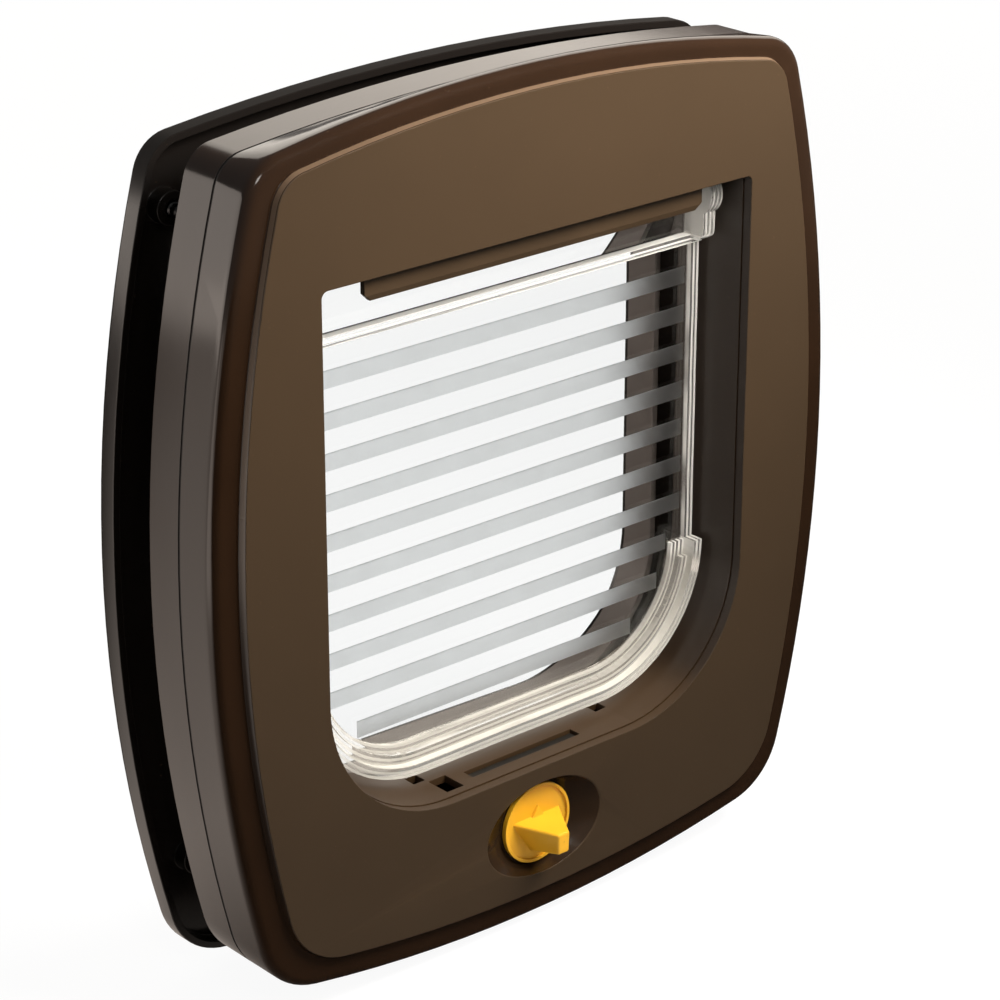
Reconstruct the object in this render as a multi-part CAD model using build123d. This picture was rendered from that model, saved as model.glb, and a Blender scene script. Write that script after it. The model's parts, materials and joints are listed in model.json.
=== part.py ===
"""Pet door: two bowed plastic frames that clamp a door leaf, a clear swinging flap and a rotary lock.

Millimetres. X runs to the right as seen from indoors, Y goes through the door towards outdoors, Z is up.
Y = 0 is the face of the front frame that lies on the door leaf; X = 0, Z = 0 is the middle of the passage.
A size whose name ends in _depth is measured back from the flat front of the cover.
"""
import os
from math import cos, radians, sin

from build123d import *

# Outer rim of the cover, with four bowed sides and rounder corners below than above
rim_half_width = 109.8
rim_half_height = 123.4
rim_drop = 1.4
side_bow_radius = 395.0
cover_end_bow_radius = 450.0
rim_top_corner_radius = 14.0
rim_low_corner_radius = 22.0
rim_round = 3.0
rim_depth = 6.0
cover_depth = 15.6
wall = 2.2

# Raised front panel, set in from the rim
panel_side_margin = 8.9
panel_end_margin = 7.4
panel_top_corner_radius = 10.0
panel_low_corner_radius = 22.0
panel_step = 2.0
panel_step_slant = 0.8

# Passage through the cover and the frames, set in from the rim by the room that the screws and the lock need
passage_side_border = 34.8
passage_end_border = 45.8
passage_top_radius = 2.0
passage_low_radius = 42.0
passage_return_depth = 3.0
passage_return_width = 1.9

# Frame behind the cover, whose outline sits a little lower and has flatter ends
seam_gap = 0.3
shell_side_growth = 0.2
shell_end_shortfall = 3.1
shell_drop = 2.4
frame_end_bow_radius = 680.0
shell_top_corner_radius = 10.0
shell_low_corner_radius = 24.0
frame_wall = 3.4
flange_thickness = 1.8
lap_height = 2.7
lap_clearance = 0.2
tunnel_start_gap = 0.1
tunnel_setback = 0.3
tunnel_wall = 2.2
tunnel_overhang = 0.8

# Rear frame, set lower so that rain drains outdoors
door_thickness = 14.3
rear_side_overhang = 1.2
rear_end_overhang = 1.7
rear_drop = 5.5
rear_top_corner_radius = 12.0
rear_low_corner_radius = 21.0
rear_depth = 6.7
rear_plate = 2.2
rear_edge_round = 1.8
rear_collar_reach = 4.3
rear_lip_height = 1.0
rear_lip_width = 4.0

# Flap, a clear tray with a deeper lower rim, hung on two pins
hinge_reach = 7.0
hinge_drop = 7.1
flap_side_clearance = 2.0
flap_sill_clearance = 3.7
flap_plate = 2.2
flap_catch_gap = 1.3
flap_top_below_hinge = 1.0
side_rim_width = 3.1
side_rim_height = 2.2
low_rim_rise = 39.6
low_rim_width = 3.2
low_rim_catch_gap = 2.1
low_ledge_rise = 34.6
low_ledge_width = 6.0
low_ledge_step = 2.3
low_foot_rise = 39.0
low_foot_width = 8.2
low_foot_step = 2.0
rib_drop = 13.6
rib_height = 2.6
rib_reach = 3.3
barrel_radius = 6.2
barrel_length = 4.5
ear_reach = 3.4
ear_drop = 13.5
ear_round = 3.0
pin_radius = 1.5
pin_fit = 0.02
pin_running_clearance = 0.08
pin_bite = 3.8
pin_end_gap = 0.3
hinge_boss_radius = 3.8
hinge_boss_length = 3.4

# Hood that hides the hinge, a strip with a ledge that is pegged under the top of the tunnel
hood_end_gap = 16.0
hood_depth = 3.2
hood_thickness = 1.7
hood_height = 6.7
hood_bevel = 2.1
hood_foot_height = 1.6
hood_foot_slant = 0.5
hood_ledge = 1.5
hood_ledge_back_depth = 10.2
hood_seat_gap = 0.15
peg_radius = 1.6
peg_clearance = 0.1
peg_inset = 17.0
peg_depth = 7.4

# Knob and the oval dish it sits in
knob_drop = 19.0
dish_half_width = 21.5
dish_half_height = 14.2
dish_floor_radius = 12.7
dish_depth = 4.6
dish_floor = 2.0
knob_radius = 12.0
knob_thickness = 1.5
knob_floor_gap = 0.2
knob_rim_width = 0.9
knob_rim_height = 0.7
grip_shoulder_width = 18.4
grip_shoulder_z = 2.2
grip_keel_width = 4.4
grip_keel_z = -8.4
grip_tip_width = 4.0
grip_tip_top_z = 1.0
grip_tip_bottom_z = -5.2
grip_length = 11.6
grip_round = 0.7
pointer_width = 6.0
pointer_height = 3.2
pointer_thickness = 0.8
spindle_radius = 4.0
spindle_clearance = 0.08
drive_side = 4.4
drive_length = 4.2
drive_clearance = 0.05

# Cam wheel and catches
cam_radius = 16.0
cam_front_gap = 1.3
cam_thickness = 5.0
track_depth = 1.8
track_start_radius = 6.4
track_overrun = 4.0
knob_turn = 90.0
catch_lift = 7.0
notch_radius = 1.2
follower_radius = 1.5
follower_clearance = 0.12
follower_end_gap = 0.3
catch_half_width = 19.6
catch_blade_height = 10.0
catch_stem_width = 12.0
catch_foot = 0.3
catch_recess = 0.9
catch_clearance = 0.4
dish_catch_gap = 1.4
front_catch_thickness = 3.2
plate_catch_gap = 0.5
rear_catch_thickness = 2.2
catch_flange_gap = 0.7

# Guides, guide plate and leaf spring in the frame
guide_rib = 1.8
guide_front_reach = 0.6
guide_reach = 9.4
plate_cam_gap = 3.1
plate_thickness = 2.2
plate_end_gap = 0.6
plate_height = 17.5
plate_reach = 4.4
plate_slot_half_width = 2.4
plate_screw_x = 14.0
plate_screw_drop = 0.4
plate_boss_radius = 2.6
leaf_gap = 0.3
leaf_thickness = 0.5
leaf_width = 4.0
leaf_half_length = 14.0
leaf_post_side = 4.0
leaf_bump = 1.0

# Openings moulded through the sill beside the front catch
window_x = -28.0
window_width = 6.0
window_length = 8.0
drain_x = -33.0
drain_width = 4.0
drain_catch_gap = 5.8
drain_length = 4.0
far_drain_x = 35.0

# Screws
fixing_side_inset = 21.3
fixing_end_inset = 31.4
fixing_radius = 2.0
fixing_clearance = 0.3
fixing_head_radius = 4.0
fixing_head = 2.6
fixing_seat_height = 8.0
fixing_bite = 3.9
fixing_boss_radius = 5.6
rear_boss_radius = 4.6
small_radius = 1.2
small_head_radius = 2.4
small_head = 1.5
small_end_gap = 0.3
knob_screw_length = 6.0
plate_screw_length = 5.2
screw_fit = 0.02
recess_width = 0.9
recess_depth = 1.0
washer_radius = 4.0
washer_thickness = 0.8

# Places worked out from the sizes above
panel_half_width = rim_half_width - panel_side_margin
panel_half_height = rim_half_height - panel_end_margin
passage_half_width = rim_half_width - passage_side_border
passage_half_height = rim_half_height - passage_end_border
shell_half_width = rim_half_width + shell_side_growth
shell_half_height = rim_half_height - shell_end_shortfall
rear_half_width = shell_half_width + rear_side_overhang
rear_half_height = shell_half_height + rear_end_overhang
fixing_x = rim_half_width - fixing_side_inset
fixing_z = rim_half_height - fixing_end_inset
knob_z = -passage_half_height - knob_drop
front_catch_depth = dish_depth + dish_floor + dish_catch_gap
cam_depth = front_catch_depth + front_catch_thickness + cam_front_gap
plate_depth = cam_depth + cam_thickness + plate_cam_gap
rear_catch_depth = plate_depth + plate_thickness + plate_catch_gap
body_depth = rear_catch_depth + rear_catch_thickness + catch_flange_gap + flange_thickness
flap_back_depth = rear_catch_depth - flap_catch_gap
flap_front_depth = flap_back_depth - flap_plate
hinge_depth = flap_back_depth - hinge_reach
side_rim_depth = flap_front_depth - side_rim_height
rib_depth = flap_front_depth - rib_reach
ear_depth = hinge_depth - ear_reach
low_rim_depth = front_catch_depth + front_catch_thickness + low_rim_catch_gap
low_ledge_depth = low_rim_depth + low_ledge_step
low_foot_depth = low_ledge_depth + low_foot_step
drain_depth = front_catch_depth + front_catch_thickness + drain_catch_gap
face_y = -body_depth
rim_y = face_y + rim_depth
cover_back_y = face_y + cover_depth
frame_front_y = cover_back_y + seam_gap
tunnel_front_y = face_y + passage_return_depth + tunnel_start_gap
tunnel_half_width = passage_half_width - tunnel_setback
tunnel_half_height = passage_half_height - tunnel_setback
tunnel_low_radius = passage_low_radius - tunnel_setback
sill_under_z = -tunnel_half_height - tunnel_wall
fixing_seat_y = -fixing_seat_height
rear_front_y = door_thickness
rear_back_y = door_thickness + rear_depth
hinge_y = face_y + hinge_depth
hinge_z = passage_half_height - hinge_drop
hood_half_width = passage_half_width - hood_end_gap
peg_x = hood_half_width - peg_inset
flap_half_width = tunnel_half_width - flap_side_clearance
flap_top_z = hinge_z - flap_top_below_hinge
flap_bottom_z = flap_sill_clearance - tunnel_half_height
flap_low_radius = tunnel_low_radius - flap_side_clearance
flap_back_y = face_y + flap_back_depth
rib_z = hinge_z - rib_drop
barrel_inner_x = flap_half_width - barrel_length
pin_inner_x = flap_half_width - pin_bite
dish_floor_y = face_y + dish_depth
knob_back_y = dish_floor_y - knob_floor_gap
knob_front_y = knob_back_y - knob_thickness
cam_front_y = face_y + cam_depth
cam_back_y = cam_front_y + cam_thickness
follower_z = knob_z + track_start_radius
track_lead = catch_lift / radians(knob_turn)
catch_top_z = -tunnel_half_height - catch_recess
catch_foot_z = follower_z - follower_radius - catch_foot
leaf_top_z = knob_z - cam_radius - leaf_gap - leaf_bump
guide_bottom_z = knob_z - guide_reach
plate_y = face_y + plate_depth
plate_back_y = plate_y + plate_thickness
plate_half_width = catch_half_width + catch_clearance - plate_end_gap
plate_bottom_z = knob_z - plate_reach
plate_top_z = plate_bottom_z + plate_height
plate_screw_z = knob_z - plate_screw_drop
small_hole_radius = small_radius + screw_fit
pin_outer_x = tunnel_half_width + tunnel_wall + hinge_boss_length / 2


def drawn_at(y):
    """Drawing plane at Y = y, with its x along X and its y along Z."""
    return Plane(origin=(0, y, 0), x_dir=(1, 0, 0), z_dir=(0, -1, 0))


def prism(sketch, y_start, y_end):
    """Sketch in X and Z, extruded through the door from y_start to y_end."""
    return extrude(drawn_at(y_end) * sketch, amount=y_end - y_start)


def box(x_low, x_high, y_low, y_high, z_low, z_high):
    """Block between two corners."""
    middle = ((x_low + x_high) / 2, (y_low + y_high) / 2, (z_low + z_high) / 2)
    return Pos(*middle) * Box(x_high - x_low, y_high - y_low, z_high - z_low)


def rod_x(x_low, x_high, y, z, radius):
    """Round rod along X."""
    return Pos((x_low + x_high) / 2, y, z) * Rot(0, 90, 0) * Cylinder(radius, x_high - x_low)


def rod_y(x, z, y_low, y_high, radius):
    """Round rod along Y."""
    return prism(Pos(x, z) * Circle(radius), y_low, y_high)


def bowed(half_width, half_height, end_bow_radius, top_radius, low_radius, inset, drop=0.0):
    """Outline with four bowed sides, moved inwards by inset and down by drop."""
    side = side_bow_radius - inset
    end = end_bow_radius - inset
    x = half_width - inset - side
    z = half_height - inset - end
    discs = Pos(x, 0) * Circle(side) & Pos(-x, 0) * Circle(side)
    discs = discs & Pos(0, z) * Circle(end) & Pos(0, -z) * Circle(end)
    outline = fillet(discs.vertices().sort_by(Axis.Y)[2:], top_radius - inset)
    return Pos(0, -drop) * fillet(outline.vertices().sort_by(Axis.Y)[:2], low_radius - inset)


def panel(inset=0.0):
    """Outline of the raised front panel."""
    corners = (panel_top_corner_radius, panel_low_corner_radius)
    return bowed(panel_half_width, panel_half_height, cover_end_bow_radius, *corners, inset)


def rim(inset=0.0):
    """Outline of the cover's rim."""
    corners = (rim_top_corner_radius, rim_low_corner_radius)
    return bowed(rim_half_width, rim_half_height, cover_end_bow_radius, *corners, inset, rim_drop)


def shell(inset=0.0):
    """Outline of the front frame, and of the cover where the two meet."""
    corners = (shell_top_corner_radius, shell_low_corner_radius)
    return bowed(shell_half_width, shell_half_height, frame_end_bow_radius, *corners, inset, shell_drop)


def rear_shell(inset=0.0):
    """Outline of the rear frame."""
    corners = (rear_top_corner_radius, rear_low_corner_radius)
    return bowed(rear_half_width, rear_half_height, frame_end_bow_radius, *corners, inset, rear_drop)


def gate(half_width, top, bottom, top_radius, low_radius):
    """Upright opening with small upper and large lower corners."""
    shape = Pos(0, (top + bottom) / 2) * Rectangle(2 * half_width, top - bottom)
    corners = shape.vertices().sort_by(Axis.Y)
    shape = fillet(corners[:2], low_radius)
    return fillet(shape.vertices().sort_by(Axis.Y)[-2:], top_radius)


def passage(grow=0.0):
    """Opening of the cover, grown outwards by grow."""
    half_height = passage_half_height + grow
    return gate(
        passage_half_width + grow, half_height, -half_height, passage_top_radius + grow, passage_low_radius + grow
    )


def tunnel(grow=0.0, drop=0.0):
    """Inner outline of the tunnel, grown outwards by grow and moved down by drop."""
    return Pos(0, -drop) * passage(grow - tunnel_setback)


def flap_outline(inset=0.0):
    """Outline of the flap's tray, moved inwards by inset."""
    return gate(
        flap_half_width - inset, flap_top_z, flap_bottom_z + inset, 1.0, flap_low_radius - inset
    )


def mirrored(solid):
    """The solid and its mirror image in the middle plane."""
    return solid + mirror(solid, about=Plane.YZ)


def bowl(y_wide, half_width, half_height, y_deep, radius):
    """Solid that narrows from an oval at y_wide to a circle at y_deep, round the knob's axis."""
    oval = Pos(0, knob_z) * Ellipse(half_width, half_height)
    floor = Pos(0, knob_z) * Ellipse(radius, radius - 0.01)
    return loft([drawn_at(y_wide) * oval, drawn_at(y_deep) * floor])


def front_cover():
    """Snap-on cover: raised panel, rounded rim, side wall, passage and the knob's dish."""
    base_y = face_y + panel_step
    body = prism(rim(), base_y, rim_y)
    body = fillet(body.faces().sort_by(Axis.Y)[0].edges(), rim_round)
    body += loft([drawn_at(rim_y) * rim(), drawn_at(cover_back_y) * shell()], ruled=True)
    body += loft([drawn_at(base_y) * panel(-panel_step_slant), drawn_at(face_y) * panel()], ruled=True)
    hollow = prism(rim(wall), base_y + wall, rim_y)
    hollow += loft([drawn_at(rim_y) * rim(wall), drawn_at(cover_back_y) * shell(wall)], ruled=True)
    hollow += prism(panel(wall), face_y + wall, base_y + wall)
    body -= hollow
    body += prism(passage(passage_return_width), face_y + wall, face_y + passage_return_depth)
    boss_back_y = dish_floor_y + dish_floor
    boss_radius = dish_floor_radius + dish_floor
    grow = wall / 2
    body += bowl(face_y + grow, dish_half_width + grow, dish_half_height + grow, boss_back_y, boss_radius)
    body -= bowl(face_y, dish_half_width, dish_half_height, dish_floor_y, dish_floor_radius)
    body -= prism(passage(), face_y, cover_back_y)
    body -= rod_y(0, knob_z, dish_floor_y, boss_back_y, spindle_radius + spindle_clearance)
    return body


def catch_slot(depth, thickness):
    """Slot through the sill for a catch."""
    reach = catch_half_width + catch_clearance
    y_low = face_y + depth - catch_clearance
    y_high = face_y + depth + thickness + catch_clearance
    return box(-reach, reach, y_low, y_high, sill_under_z, -tunnel_half_height)


def front_frame():
    """Inner frame: side wall, lap, flange, tunnel, hinge bosses, screw bosses and lock guides."""
    body = prism(shell(), frame_front_y, 0) - prism(shell(frame_wall), frame_front_y, -flange_thickness)
    lap = shell(wall + lap_clearance) - shell(frame_wall)
    body += prism(lap, frame_front_y - lap_height, frame_front_y)
    flange_y = -flange_thickness
    for x in (-fixing_x, fixing_x):
        for z in (-fixing_z, fixing_z):
            body += rod_y(x, z, fixing_seat_y, flange_y, fixing_boss_radius)
    for side in (-1, 1):
        inner = catch_half_width + catch_clearance
        x_low, x_high = sorted((side * inner, side * (inner + guide_rib)))
        y_low = face_y + front_catch_depth - guide_front_reach
        body += box(x_low, x_high, y_low, flange_y, guide_bottom_z, sill_under_z)
        x = side * plate_screw_x
        body += rod_y(x, plate_screw_z, plate_back_y, flange_y, plate_boss_radius)
        post_x = side * (leaf_half_length - leaf_post_side / 2)
        post_top = leaf_top_z - leaf_thickness
        body += box(
            post_x - leaf_post_side / 2,
            post_x + leaf_post_side / 2,
            cam_front_y,
            flange_y,
            post_top - leaf_post_side,
            post_top,
        )
    body += prism(tunnel(tunnel_wall), tunnel_front_y, tunnel_overhang)
    boss_end_x = tunnel_half_width + tunnel_wall + hinge_boss_length
    body += mirrored(rod_x(tunnel_half_width, boss_end_x, hinge_y, hinge_z, hinge_boss_radius))
    body -= prism(tunnel(), tunnel_front_y, tunnel_overhang)
    bore = pin_radius + pin_running_clearance
    body -= mirrored(rod_x(tunnel_half_width - 1, pin_outer_x + pin_end_gap, hinge_y, hinge_z, bore))
    body -= catch_slot(front_catch_depth, front_catch_thickness)
    body -= catch_slot(rear_catch_depth, rear_catch_thickness)
    window_depth = front_catch_depth + front_catch_thickness / 2
    for x, width, depth, length in (
        (window_x, window_width, window_depth, window_length),
        (drain_x, drain_width, drain_depth, drain_length),
        (far_drain_x, drain_width, drain_depth, drain_length),
    ):
        y = face_y + depth
        top = -tunnel_half_height / 2
        body -= box(x - width / 2, x + width / 2, y - length / 2, y + length / 2, sill_under_z, top)
    for side in (-1, 1):
        x = side * plate_screw_x
        end_y = plate_y + plate_screw_length + small_end_gap
        body -= rod_y(x, plate_screw_z, plate_back_y, end_y, small_hole_radius)
        body -= peg(side * peg_x, peg_radius + peg_clearance)
    for x in (-fixing_x, fixing_x):
        for z in (-fixing_z, fixing_z):
            body -= rod_y(x, z, face_y, 0, fixing_radius + fixing_clearance)
    return body


def peg(x, radius):
    """Upright peg of the hood, through the top of the tunnel."""
    low = tunnel_half_height - hood_seat_gap
    return Pos(x, face_y + peg_depth, low + tunnel_wall / 2) * Cylinder(radius, tunnel_wall)


def hinge_hood():
    """Strip that hangs in front of the hinge, with a slanted foot and a ledge along its top."""
    top = tunnel_half_height - hood_seat_gap
    bottom = top - hood_height
    y_low = face_y + hood_depth
    y_high = y_low + hood_thickness
    y_back = face_y + hood_ledge_back_depth
    section = Polygon(
        (y_low, top),
        (y_low, bottom + hood_foot_height),
        (y_low + hood_foot_slant, bottom),
        (y_high, bottom),
        (y_high, top - hood_ledge),
        (y_back, top - hood_ledge),
        (y_back, top),
        align=None,
    )
    start = Plane(origin=(-hood_half_width, 0, 0), x_dir=(0, 1, 0), z_dir=(1, 0, 0))
    body = extrude(start * section, 2 * hood_half_width)
    outline = Pos(0, (top + bottom) / 2) * Rectangle(2 * hood_half_width, hood_height)
    outline = chamfer(outline.vertices().sort_by(Axis.Y)[:2], hood_bevel)
    body &= prism(outline, y_low, y_back)
    return body + peg(-peg_x, peg_radius) + peg(peg_x, peg_radius)


def rear_frame():
    """Outer frame: shallow shell, collar round the passage, lip and screw bosses."""
    body = prism(rear_shell(), rear_front_y, rear_back_y)
    body = fillet(body.faces().sort_by(Axis.Y)[-1].edges(), rear_edge_round)
    plate_front_y = rear_back_y - rear_plate
    body -= prism(rear_shell(wall), rear_front_y, plate_front_y)
    for x in (-fixing_x, fixing_x):
        for z in (-fixing_z, fixing_z):
            body += rod_y(x, z, rear_front_y, plate_front_y, rear_boss_radius)
    lip = tunnel(rear_lip_width, rear_drop)
    body += prism(lip, rear_back_y, rear_back_y + rear_lip_height)
    collar_y = rear_front_y - rear_collar_reach
    body += prism(tunnel(tunnel_wall, rear_drop), collar_y, rear_back_y)
    body -= prism(tunnel(0, rear_drop), collar_y, rear_back_y + rear_lip_height)
    for x in (-fixing_x, fixing_x):
        for z in (-fixing_z, fixing_z):
            body -= rod_y(x, z, rear_front_y, rear_front_y + fixing_bite + screw_fit, fixing_radius + screw_fit)
    return body


def flap_ear():
    """Round hinge barrel with a block that joins it to the plate, at the flap's right end."""
    plate_front_y = face_y + flap_front_depth
    y_low = face_y + ear_depth
    z_low = hinge_z - ear_drop
    block = Pos((y_low + plate_front_y) / 2, (z_low + hinge_z) / 2) * Rectangle(plate_front_y - y_low, ear_drop)
    lower_front = block.vertices().sort_by(Axis.Y)[:2].sort_by(Axis.X)[0]
    block = fillet(lower_front, ear_round)
    start = Plane(origin=(barrel_inner_x, 0, 0), x_dir=(0, 1, 0), z_dir=(1, 0, 0))
    ear = extrude(start * block, barrel_length)
    ear += rod_x(barrel_inner_x, flap_half_width, hinge_y, hinge_z, barrel_radius)
    return ear - rod_x(pin_inner_x, flap_half_width, hinge_y, hinge_z, pin_radius + pin_fit)


def flap():
    """Clear tray: plate, side rims, stepped lower rim, cross rib and hinge ears."""
    plate_front_y = face_y + flap_front_depth
    body = prism(flap_outline(), plate_front_y, flap_back_y)
    rims = (
        (side_rim_width, side_rim_depth, flap_top_z),
        (low_rim_width, low_rim_depth, flap_bottom_z + low_rim_rise),
        (low_ledge_width, low_ledge_depth, flap_bottom_z + low_ledge_rise),
        (low_foot_width, low_foot_depth, flap_bottom_z + low_foot_rise),
    )
    for width, depth, top in rims:
        y_low = face_y + depth
        ring = prism(flap_outline(), y_low, plate_front_y) - prism(flap_outline(width), y_low, plate_front_y)
        ring &= box(-flap_half_width, flap_half_width, y_low, plate_front_y, flap_bottom_z, top)
        body += ring
    body += box(
        -flap_half_width,
        flap_half_width,
        face_y + rib_depth,
        plate_front_y,
        rib_z - rib_height / 2,
        rib_z + rib_height / 2,
    )
    return body + mirrored(flap_ear())


def hinge_pin(side):
    """Steel pin pressed into the flap's barrel and turning in the frame's boss."""
    x_low, x_high = sorted((side * pin_inner_x, side * pin_outer_x))
    return rod_x(x_low, x_high, hinge_y, hinge_z, pin_radius)


def lock_knob():
    """Yellow knob: dished disc, grip with wide shoulders and a keel, pointer, spindle and square drive."""
    body = rod_y(0, knob_z, knob_front_y, knob_back_y, knob_radius)
    floor_y = knob_front_y + knob_rim_height
    body -= rod_y(0, knob_z, knob_front_y, floor_y, knob_radius - knob_rim_width)
    root = Pos(0, knob_z) * Polygon(
        (-grip_shoulder_width / 2, grip_shoulder_z),
        (-grip_keel_width / 2, grip_keel_z),
        (grip_keel_width / 2, grip_keel_z),
        (grip_shoulder_width / 2, grip_shoulder_z),
        align=None,
    )
    tip = Pos(0, knob_z) * Polygon(
        (-grip_tip_width / 2, grip_tip_top_z),
        (-grip_tip_width / 2, grip_tip_bottom_z),
        (grip_tip_width / 2, grip_tip_bottom_z),
        (grip_tip_width / 2, grip_tip_top_z),
        align=None,
    )
    grip = loft([drawn_at(floor_y) * root, drawn_at(floor_y - grip_length) * tip], ruled=True)
    outer_edges = grip.edges() - grip.faces().sort_by(Axis.Y)[-1].edges()
    body += fillet(outer_edges, grip_round)
    arrow = Pos(0, knob_z + grip_shoulder_z) * Polygon(
        (-pointer_width / 2, -pointer_height / 2),
        (pointer_width / 2, -pointer_height / 2),
        (0, pointer_height),
        align=None,
    )
    body += prism(arrow, floor_y - pointer_thickness, floor_y)
    body += rod_y(0, knob_z, knob_back_y, cam_front_y, spindle_radius)
    drive = Pos(0, knob_z) * Rectangle(drive_side, drive_side)
    body += prism(drive, cam_front_y, cam_front_y + drive_length)
    hole_y = cam_back_y + washer_thickness - knob_screw_length - small_end_gap
    body -= rod_y(0, knob_z, hole_y, cam_front_y + drive_length, small_hole_radius)
    return body


def track_point(turn, offset):
    """Point of the cam track, at a turn in degrees and an offset square to the track."""
    angle = radians(90 + turn)
    radius = track_start_radius + track_lead * radians(turn)
    slope = Vector(
        track_lead * cos(angle) - radius * sin(angle), track_lead * sin(angle) + radius * cos(angle)
    ).normalized()
    middle = Vector(radius * cos(angle), radius * sin(angle))
    return middle + Vector(-slope.Y, slope.X) * offset


def cam_track():
    """Spiral track: the same rise for every degree of turn, with round ends."""
    half = follower_radius + follower_clearance
    first, last = -track_overrun, knob_turn + track_overrun
    steps = 10
    turns = [first + (last - first) * i / steps for i in range(steps + 1)]
    outer = [track_point(turn, -half) for turn in turns]
    inner = [track_point(turn, half) for turn in reversed(turns)]
    edges = [
        Edge.make_spline(outer),
        Edge.make_line(outer[-1], inner[0]),
        Edge.make_spline(inner),
        Edge.make_line(inner[-1], outer[0]),
    ]
    track = Face(Wire(edges))
    for turn in (first, last):
        track += Pos(track_point(turn, 0)) * Circle(half)
    return Pos(0, knob_z) * track


def cam_wheel():
    """Cam wheel with a spiral track in each face, a square socket and two rim notches."""
    body = rod_y(0, knob_z, cam_front_y, cam_back_y, cam_radius)
    body -= prism(cam_track(), cam_front_y, cam_front_y + track_depth)
    body -= prism(cam_track(), cam_back_y - track_depth, cam_back_y)
    socket = Pos(0, knob_z) * Rectangle(drive_side + 2 * drive_clearance, drive_side + 2 * drive_clearance)
    body -= prism(socket, cam_front_y, cam_back_y)
    for x, z in ((0, knob_z - cam_radius), (cam_radius, knob_z)):
        body -= rod_y(x, z, cam_front_y, cam_back_y, notch_radius)
    return body


def catch(depth, thickness, follower_start_y, follower_end_y):
    """Sliding catch: wide blade, narrow stem and the follower that rides in the cam track."""
    y_low = face_y + depth
    y_high = y_low + thickness
    blade_low_z = catch_top_z - catch_blade_height
    body = box(-catch_half_width, catch_half_width, y_low, y_high, blade_low_z, catch_top_z)
    body += box(-catch_stem_width / 2, catch_stem_width / 2, y_low, y_high, catch_foot_z, catch_top_z)
    return body + rod_y(0, follower_z, follower_start_y, follower_end_y, follower_radius)


def front_catch():
    """Catch that stops the flap from swinging indoors."""
    tip_y = cam_front_y + track_depth - follower_end_gap
    return catch(front_catch_depth, front_catch_thickness, face_y + front_catch_depth, tip_y)


def rear_catch():
    """Catch that stops the flap from swinging outdoors."""
    tip_y = cam_back_y - track_depth + follower_end_gap
    return catch(rear_catch_depth, rear_catch_thickness, tip_y, face_y + rear_catch_depth)


def guide_plate():
    """Plate that keeps the rear catch in its guide."""
    half_height = (plate_top_z - plate_bottom_z) / 2
    shape = Pos(0, plate_top_z - half_height) * Rectangle(2 * plate_half_width, 2 * half_height)
    shape = fillet(shape.vertices(), 1.5)
    slot_low = follower_z - plate_slot_half_width
    slot = Pos(0, (slot_low + plate_top_z) / 2) * Rectangle(2 * plate_slot_half_width, plate_top_z - slot_low)
    shape -= slot + Pos(0, slot_low) * Circle(plate_slot_half_width)
    for side in (-1, 1):
        shape -= Pos(side * plate_screw_x, plate_screw_z) * Circle(small_hole_radius)
    return prism(shape, plate_y, plate_y + plate_thickness)


def leaf_spring():
    """Bent steel strip under the cam, whose bump clicks into the rim notches."""
    y_low = cam_front_y + (cam_thickness - leaf_width) / 2
    strip = Pos(0, leaf_top_z - leaf_thickness / 2) * Rectangle(2 * leaf_half_length, leaf_thickness)
    strip += Pos(0, leaf_top_z) * Circle(leaf_bump)
    strip -= Pos(0, leaf_top_z - leaf_thickness) * Circle(leaf_bump)
    return prism(strip, y_low, y_low + leaf_width)


def pan_screw(x, z, seat_y, length, radius, head_radius, head, towards):
    """Pan-head screw along Y with a crossed recess; towards is the way its point faces."""
    y_low, y_high = sorted((seat_y, seat_y + towards * length))
    body = rod_y(x, z, y_low, y_high, radius)
    top_y = seat_y - towards * head
    body += rod_y(x, z, min(seat_y, top_y), max(seat_y, top_y), head_radius)
    body = fillet(body.faces().sort_by(Axis.Y)[0 if towards > 0 else -1].edges(), head / 3)
    cross = Rectangle(1.3 * head_radius, recess_width) + Rectangle(recess_width, 1.3 * head_radius)
    deep_y = top_y + towards * recess_depth
    return body - prism(Pos(x, z) * cross, min(top_y, deep_y), max(top_y, deep_y))


def fixing_screws():
    """Four long screws from the front frame into the rear frame."""
    sizes = (rear_front_y + fixing_bite - fixing_seat_y, fixing_radius, fixing_head_radius, fixing_head)
    places = [(x, z) for x in (-fixing_x, fixing_x) for z in (-fixing_z, fixing_z)]
    return Compound([pan_screw(x, z, fixing_seat_y, *sizes, 1) for x, z in places])


def guide_screws():
    """Two short screws that hold the guide plate."""
    sizes = (plate_screw_length, small_radius, small_head_radius, small_head)
    return Compound([pan_screw(x, plate_screw_z, plate_y, *sizes, 1) for x in (-plate_screw_x, plate_screw_x)])


def knob_washer():
    """Washer between the cam wheel and the knob's screw."""
    ring = Pos(0, knob_z) * (Circle(washer_radius) - Circle(small_hole_radius))
    return prism(ring, cam_back_y, cam_back_y + washer_thickness)


def knob_screw():
    """Screw that holds the cam wheel on the knob's square drive."""
    seat_y = cam_back_y + washer_thickness
    return pan_screw(0, knob_z, seat_y, knob_screw_length, small_radius, small_head_radius, small_head, -1)


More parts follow.
